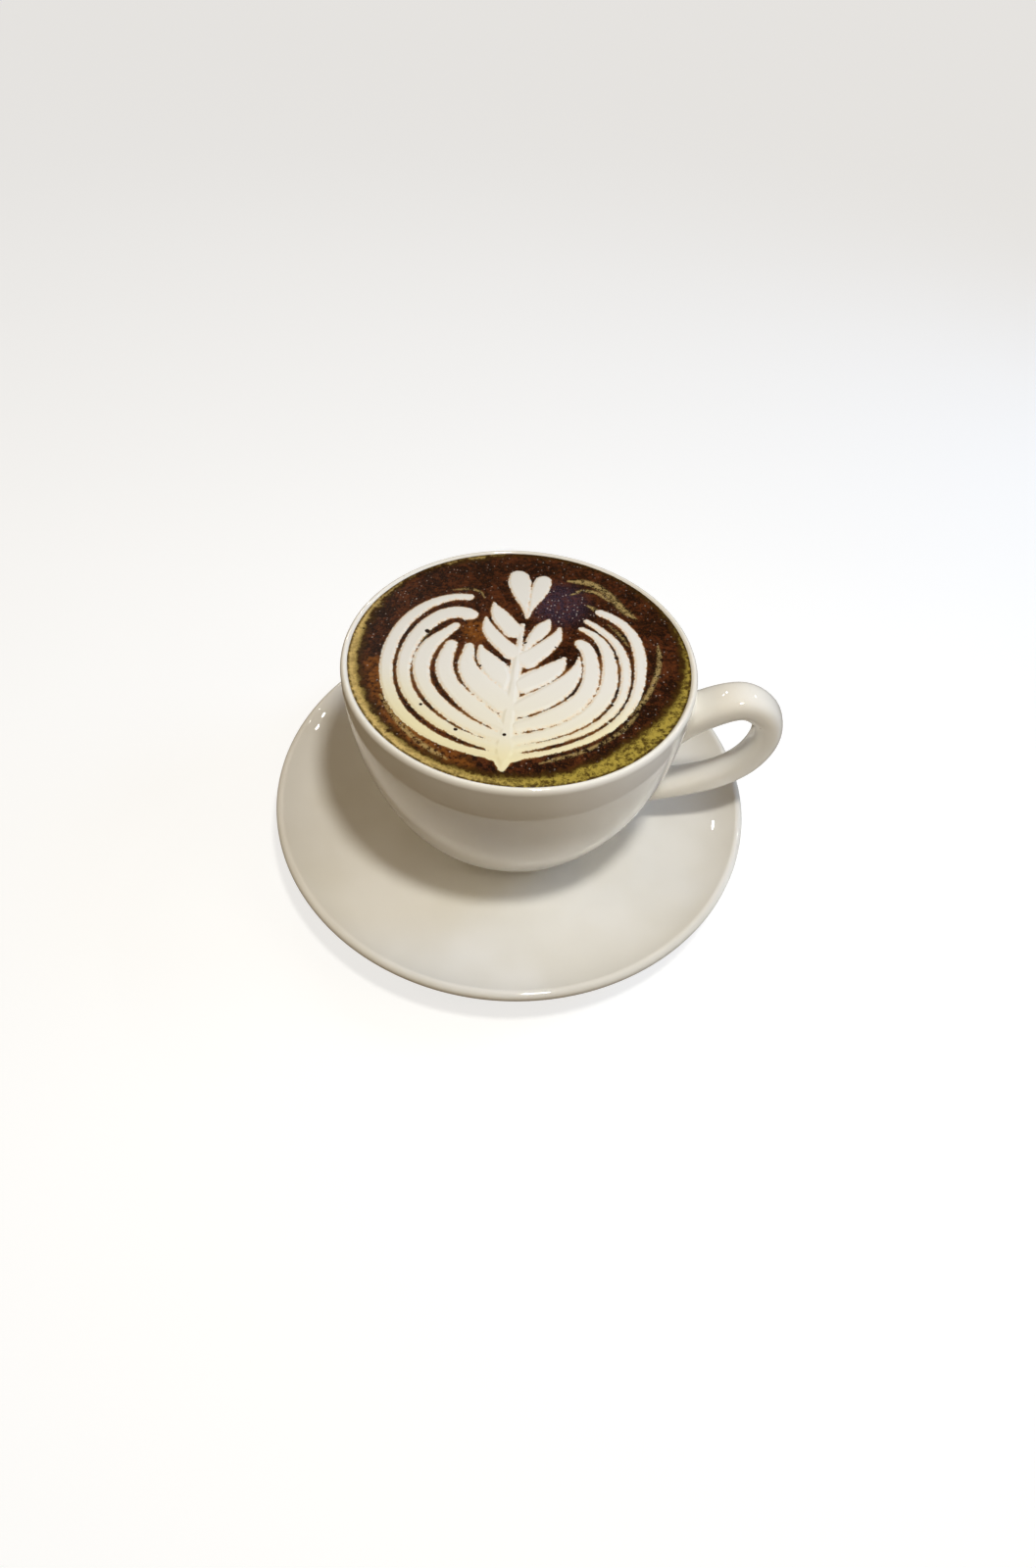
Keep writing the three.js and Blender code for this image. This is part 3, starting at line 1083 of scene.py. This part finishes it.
@dataclass(frozen=True)
class MochaSurface:
    """Foamed chocolate drink: dark field, olive crema and white milk with browned edges."""

    dark: Colour = tint(24, 8, 4)
    cocoa: Colour = tint(82, 41, 20)
    umber: Colour = tint(134, 80, 28)
    olive: Colour = tint(164, 144, 62)
    shade: Colour = tint(58, 38, 8)
    sand: Colour = tint(202, 174, 108)
    streak: Colour = tint(174, 152, 98)
    edge: Colour = tint(150, 108, 58)
    peach: Colour = tint(228, 198, 160)
    painted_warm_tint: Colour = tint(224, 214, 174)
    milk: Colour = tint(224, 221, 214)
    painted_reflection_violet: Colour = tint(68, 58, 80)
    painted_glint: Colour = tint(196, 184, 176)
    black: Colour = tint(34, 18, 10)

    def material(self, name: str) -> bpy.types.Material:
        """Makes the finish from the values kept on the drink's points.

        Args:
            name: Name of the material.

        Returns:
            The material.
        """
        shader = Shader(name)
        mottle = shader.noise(1.1, 3.0, 0.58)
        fine = shader.noise(0.4, 2.0, 0.6, 3.0)
        drift = shader.noise(6.0, 2.0, 0.5, 7.0)
        blot = shader.noise(2.6, 3.0, 0.62, 11.0)
        bubble, own = shader.cells(1.0, "2D")

        # Dark chocolate with cocoa grains, a painted bluish reflection of lamp light and painted glints of
        # light on small bubbles.
        field = shader.mix((mottle + (drift - 0.5) * 0.6).rise(0.4, 0.7), self.dark, self.cocoa)
        field = shader.mix(fine.rise(0.54, 0.72) * 0.55, field, self.umber)
        field = shader.mix(shader.attribute("pocket") * mottle.rise(0.3, 0.65) * 0.8, field, self.umber)
        # Painted reflection: a bluish patch of reflected light, painted into the colour of the dark field.
        painted_sheen = shader.attribute("painted_sheen")
        field = shader.mix(painted_sheen * fine.rise(0.4, 0.62) * 0.75, field, self.painted_reflection_violet)
        # Painted highlights: small light-coloured glints on bubbles, more of them within the painted
        # reflection.
        painted_glint_mask = bubble.rise(0.3, 0.06) * (own + painted_sheen * 0.16).rise(0.86, 1.0)
        field = shader.mix(painted_glint_mask * (0.6 + painted_sheen * 0.3), field, self.painted_glint)

        # Crema along the wall, with a dark fringe on its inner side and a dark line at the porcelain.
        ring = shader.attribute("crema") + (mottle - 0.5) * 2.4 + (blot - 0.5) * 5.0
        pale = shader.attribute("pale")
        crema = shader.mix(pale, self.olive, self.sand)
        flecks = (mottle * 0.55 + blot * 0.45 + (fine - 0.5) * 0.25).rise(0.42, 0.6)
        crema = shader.mix(flecks * (0.9 - pale * 0.5), crema, self.shade)
        field = shader.mix(ring.rise(-1.4, 0.5) * 0.85, field, self.shade)
        field = shader.mix(ring.rise(0.3, 1.7), field, crema)
        line = shader.attribute("wall").rise(0.75, 0.3) * mottle.rise(0.3, 0.55)
        field = shader.mix(line * 0.8, field, self.shade)
        swirl = shader.attribute("swirl") * (mottle + (fine - 0.5) * 0.8).rise(0.38, 0.56)
        field = shader.mix(swirl * 0.85, field, self.streak)

        # Milk with browned edges, and painted lamp light tinting it yellowish towards its lower end.
        away = shader.attribute("milk") + (mottle - 0.5) * 1.1 + (fine - 0.5) * 0.8
        browned = away.rise(0.55, 0.05) * (drift + mottle - 0.5).rise(0.36, 0.62)
        field = shader.mix(browned * 0.75, field, self.edge)
        milk = shader.mix(away.rise(-0.9, -0.05) * mottle.rise(0.36, 0.6) * 0.6, self.milk, self.peach)
        # Painted light: the milk is tinted yellowish where the front lamp's yellowish light falls, towards
        # the lower end and the outside.
        milk = shader.mix(shader.attribute("painted_warm_light"), milk, self.painted_warm_tint)
        cover = away.rise(0.12, -0.1)
        colour = shader.mix(cover, field, milk)
        colour = shader.mix(shader.attribute("grain").rise(0.45, 0.6), colour, self.black)
        relief = bubble * (0.35 - cover * 0.3) + mottle * 0.5
        return shader.surface(
            Base_Color=colour,
            Roughness=0.26 + fine * 0.2 + cover * 0.2,
            Normal=shader.bump(relief, 0.14),
            IOR=1.36,
            Specular_IOR_Level=0.22,
        )


@dataclass(frozen=True)
class Mocha:
    """The drink in the cup, up to its surface with the milk standing a little proud."""

    art: MilkArt = MilkArt()
    crema: Crema = Crema()
    level: float = 70.0
    edge: float = 47.42
    relief: float = 0.32
    meniscus: float = 0.45
    columns: int = 768
    step: float = 0.37
    swirls: tuple[Swirl, ...] = (
        Swirl(((11, 36), (17, 36.2), (21, 34), (25, 29.5), (28, 25), (32, 21)), 1.3),
        Swirl(((12, 29), (16, 32), (20, 31.5), (24, 28)), 0.7),
        Swirl(((17.6, 24.6), (19.4, 23.4), (21, 21.8)), 1.2),
        Swirl(((-24, 25.2), (-18, 26.6), (-15, 25.5), (-13.5, 23)), 0.5, 0.7),
        Swirl(((38.5, 10), (38.8, 3), (37.6, -4), (35, -12), (31, -19)), 0.7, 0.85),
        Swirl(((33, -18), (28, -26), (20, -33), (9, -39)), 0.55, 0.75),
        Swirl(((-34.5, -22), (-28.5, -30), (-21.5, -36.5), (-13.5, -41)), 0.7, 0.8),
        Swirl(((-28.3, 0), (-26.6, 6), (-23.6, 11.8)), 0.5, 0.9),
        Swirl(((24, 17), (27.6, 12.5), (30, 8)), 0.6, 0.7),
    )
    brown_band: tuple[Pair, ...] = ((-39.5, -10), (-35.5, -20), (-28.5, -30), (-20, -37.5), (-9, -42))
    # Where the painted reflection of bluish light lies on the drink.
    painted_sheen: Patch = Patch((9, 24), (12, 14), 0.35)
    pocket: Patch = Patch((-13.5, 7.5), (6, 6.5), 0.4)
    web: float = 0.36
    stem_web: float = 0.5
    dots: tuple[tuple[float, float, float], ...] = (
        (-27.3, 4.7, 0.8), (-10.4, -7, 0.4), (-23.3, -24.2, 0.5), (-13, -31.3, 0.6), (-0.7, -31.3, 0.55),
        (0.3, 7, 0.6), (0.8, 4.5, 0.5), (26.7, 2.5, 0.7), (26, -16.3, 0.5), (-45.3, 3.0, 0.4),
        (9.4, 4.0, 0.35),
    )

    def surface_height(self, points: np.ndarray, milk: np.ndarray) -> np.ndarray:
        """Works out the height of the surface.

        Args:
            points: Places on the drink.
            milk: Distance from the milk at each of them.

        Returns:
            The heights.
        """
        to_wall = self.edge - np.hypot(points[:, 0], points[:, 1])
        proud = self.relief * rise(-milk, -0.15, 0.75)
        swell = 0.06 * np.sin(points[:, 0] * 0.21 + 0.6) * np.sin(points[:, 1] * 0.17 + 1.1)
        return self.level + proud + (swell * rise(to_wall, 0, 4)) + self.meniscus * np.exp(-to_wall / 0.9)

    def marks(self, points: np.ndarray, milk: np.ndarray) -> dict[str, np.ndarray]:
        """Works out what the finish needs to know at each point.

        Args:
            points: Places on the drink.
            milk: Distance from the milk at each of them.

        Returns:
            Values by name.
        """
        spots = self.art.across_and_along(points)
        across, along = spots.T
        swirl = np.max([stroke.cover(spots) for stroke in self.swirls], axis=0)
        grain = np.max([1 - np.hypot(across - u, along - v) / (2 * r) for u, v, r in self.dots], axis=0)
        outer = rise(np.hypot(across, along + 8), 22, 32)
        lower_left = line_distance(spots, through(self.brown_band, 24))
        low = rise(-along, -6, 10)
        web = low * (self.web * rise(np.abs(across), 15, 2) + self.stem_web * rise(np.abs(across), 5.5, 2.2))
        wall = self.edge - np.hypot(across, along)
        return {
            "milk": milk - web,
            "crema": self.crema.depth(spots, self.edge),
            "wall": wall,
            "pale": rise(-across, -16, 30) * (0.45 + 0.55 * rise(-wall, -3.2, -0.8)),
            "swirl": swirl,
            # Where the painted reflection of bluish light lies.
            "painted_sheen": self.painted_sheen.cover(spots),
            "pocket": np.maximum(self.pocket.cover(spots), 0.8 * rise(lower_left, 3.4, 1.2)),
            # How strongly painted lamp light tints the milk yellowish: more towards the lower end of the stem
            # and the outside.
            "painted_warm_light": rise(-along, 6, 32) * (0.35 + 0.65 * outer),
            "grain": np.clip(grain, 0.0, 1.0),
        }

    def build(self, cup: Cup, finish: MochaSurface) -> bpy.types.Object:
        """Makes the drink as a closed mesh that fills the cup.

        Args:
            cup: The cup that holds it.
            finish: Its finish.

        Returns:
            The piece.
        """
        loft = Loft()
        rings = []
        count, radius = self.columns, self.edge
        while radius > self.step:
            rings.append(round_points(radius, self.level, count))
            if count > 12 and radius < self.edge * count / self.columns / 2 + self.step:
                count //= 2
            radius -= self.step
        rings.append(np.array([[0.0, 0.0, self.level]]))
        sizes = [len(ring) for ring in rings]
        top = np.vstack(rings)
        milk = self.art.distance(self.art.across_and_along(top))
        top[:, 2] = self.surface_height(top, milk)
        rows = [loft.ring(ring) for ring in np.split(top, np.cumsum(sizes)[:-1])]
        for low, high in zip(rows, rows[1:]):
            loft.strip(low, high)
        bowl = cup.cavity()
        bowl = bowl[bowl[:, 1] < self.level - 2]
        under = rows[0]
        for i, (at, height) in enumerate(bowl[1:]):
            size = 1 if at < 1e-6 else max(self.columns >> (i + 1), 96)
            at_wall = at + 0.08
            below = np.array([[0.0, 0.0, height]]) if size == 1 else round_points(at_wall, height, size)
            ring = loft.ring(below)
            loft.strip(under, ring)
            under = ring
        piece = loft.build("mocha_drink", finish.material("mocha"))
        self.mark(piece)
        settle(piece, "mocha")
        return piece

    def mark(self, piece: bpy.types.Object) -> None:
        """Keeps the finish's values on the mesh's points."""
        mesh = piece.data
        flat = np.empty(len(mesh.vertices) * 3)
        mesh.vertices.foreach_get("co", flat)
        points = flat.reshape(-1, 3) / MM
        milk = self.art.distance(self.art.across_and_along(points))
        for name, values in self.marks(points, milk).items():
            mesh.attributes.new(name, "FLOAT", "POINT").data.foreach_set("value", values.astype(np.float32))


@dataclass(frozen=True)
class TableTop:
    """Plain pale floor that sweeps up all round, far from the object, and throws no light back on it."""

    flat: float = 2400.0
    sweep: float = 1600.0
    height: float = 6000.0
    columns: int = 96
    colour: Colour = tint(172, 172, 171)
    patch: Colour = tint(168, 168, 167)
    glow: Colour = (0.72, 0.72, 0.715, 1.0)

    def material(self) -> bpy.types.Material:
        """Returns the floor's finish."""
        shader = Shader("floor_matt")
        return shader.surface(
            Base_Color=shader.mix(shader.noise(160.0, 2.0), self.colour, self.patch),
            Roughness=0.85,
            Specular_IOR_Level=0.0,
            Emission_Color=self.glow,
            Emission_Strength=1.0,
        )

    def build(self) -> None:
        """Lays the floor."""
        curve = arc((self.flat, self.sweep), (self.sweep, self.sweep), -90, 0, 24)
        loft = Loft()
        loft.turn(np.vstack([[(0.0, 0.0)], curve, [(self.flat + self.sweep, self.height)]]), self.columns)
        floor = loft.build("floor", self.material())
        floor.visible_diffuse = False
        floor.visible_glossy = False
        floor.visible_shadow = False


@dataclass(frozen=True)
class Lamp:
    """A round lamp: place and radius in millimetres, watts, colour and whether the glaze shows it."""

    name: str
    place: tuple[float, float, float]
    radius: float
    watts: float
    colour: tuple[float, float, float]
    reflects: bool = True
    aim: tuple[float, float, float] = (0.0, 0.0, 40.0)

    def build(self) -> None:
        """Hangs the lamp."""
        data = bpy.data.lights.new(self.name, "AREA")
        data.shape = "DISK"
        data.size = 2 * self.radius * MM
        data.energy = self.watts
        data.color = self.colour
        lamp = bpy.data.objects.new(self.name, data)
        bpy.context.scene.collection.objects.link(lamp)
        lamp.visible_glossy = self.reflects
        lamp.visible_camera = False
        lamp.location = Vector(self.place) * MM
        lamp.rotation_euler = (Vector(self.aim) - Vector(self.place)).to_track_quat("-Z", "Y").to_euler()


@dataclass(frozen=True)
class Studio:
    """Floor, lamps and camera."""

    floor: TableTop = TableTop()
    lamps: tuple[Lamp, ...] = (
        Lamp("key_lamp", (50, -76, 335), 18, 0.54, (1.0, 0.985, 0.93)),
        Lamp("back_lamp", (600, 240, 440), 150, 1.8, (0.42, 0.63, 1.0), False),
        Lamp("right_lamp", (520, -80, 380), 120, 0.5, (0.95, 0.99, 0.96), False),
        Lamp("left_lamp", (-420, -120, 420), 140, 0.38, (1.0, 0.92, 0.74), False),
        Lamp("low_lamp", (112, -34, 3), 32, 0.03, (0.94, 0.97, 1.0), False, (112, -34, 90)),
    )
    ceiling: tuple[tuple[float, float, float], ...] = (
        (478, 384, 614), (440, 440, 614), (-327, 568, 566), (-270, 600, 566),
    )
    ceiling_radius: float = 13
    ceiling_watts: float = 0.1
    ceiling_colour: tuple[float, float, float] = (1.0, 0.97, 0.92)
    sky: Colour = (0.16, 0.115, 0.066, 1.0)
    camera_place: tuple[float, float, float] = (13.665, -143.23, 194.7)
    pitch: float = 51.94
    yaw: float = -4.60
    roll: float = 4.60
    focal_px: float = 683.0
    long_side_px: float = 1600.0

    def build(self) -> None:
        """Sets the stage."""
        self.floor.build()
        for lamp in self.lamps:
            lamp.build()
        for number, place in enumerate(self.ceiling, 1):
            spot = f"ceiling_lamp_{number}"
            Lamp(spot, place, self.ceiling_radius, self.ceiling_watts, self.ceiling_colour).build()
        world = bpy.data.worlds.new("studio")
        world.use_nodes = True
        world.node_tree.nodes["Background"].inputs["Color"].default_value = self.sky
        bpy.context.scene.world = world
        bpy.context.scene.view_settings.view_transform = "Standard"
        self.aim_camera()

    def aim_camera(self) -> None:
        """Places the camera as the photograph was taken."""
        pitch, yaw, roll = (math.radians(angle) for angle in (self.pitch, self.yaw, self.roll))
        ahead = Vector((math.sin(yaw) * math.cos(pitch), math.cos(yaw) * math.cos(pitch), -math.sin(pitch)))
        level = Vector((math.cos(yaw), -math.sin(yaw), 0.0))
        upright = level.cross(ahead)
        right = math.cos(roll) * level + math.sin(roll) * upright
        up = math.cos(roll) * upright - math.sin(roll) * level
        data = bpy.data.cameras.new("camera")
        data.sensor_width = 36.0
        data.lens = data.sensor_width * self.focal_px / self.long_side_px
        data.clip_start = 0.01
        camera = bpy.data.objects.new("camera", data)
        bpy.context.scene.collection.objects.link(camera)
        turn = Matrix((right, up, -ahead)).transposed().to_4x4()
        camera.matrix_world = Matrix.Translation(Vector(self.camera_place) * MM) @ turn
        bpy.context.scene.camera = camera


def main() -> None:
    """Builds saucer, cup, drink and studio."""
    logging.basicConfig(level=logging.INFO, format="%(name)s: %(message)s")
    glaze = PorcelainGlaze()
    cup = Cup()
    Saucer().build(glaze)
    cup.build(glaze)
    Mocha().build(cup, MochaSurface())
    Studio().build()


if __name__ == "__main__":
    main()
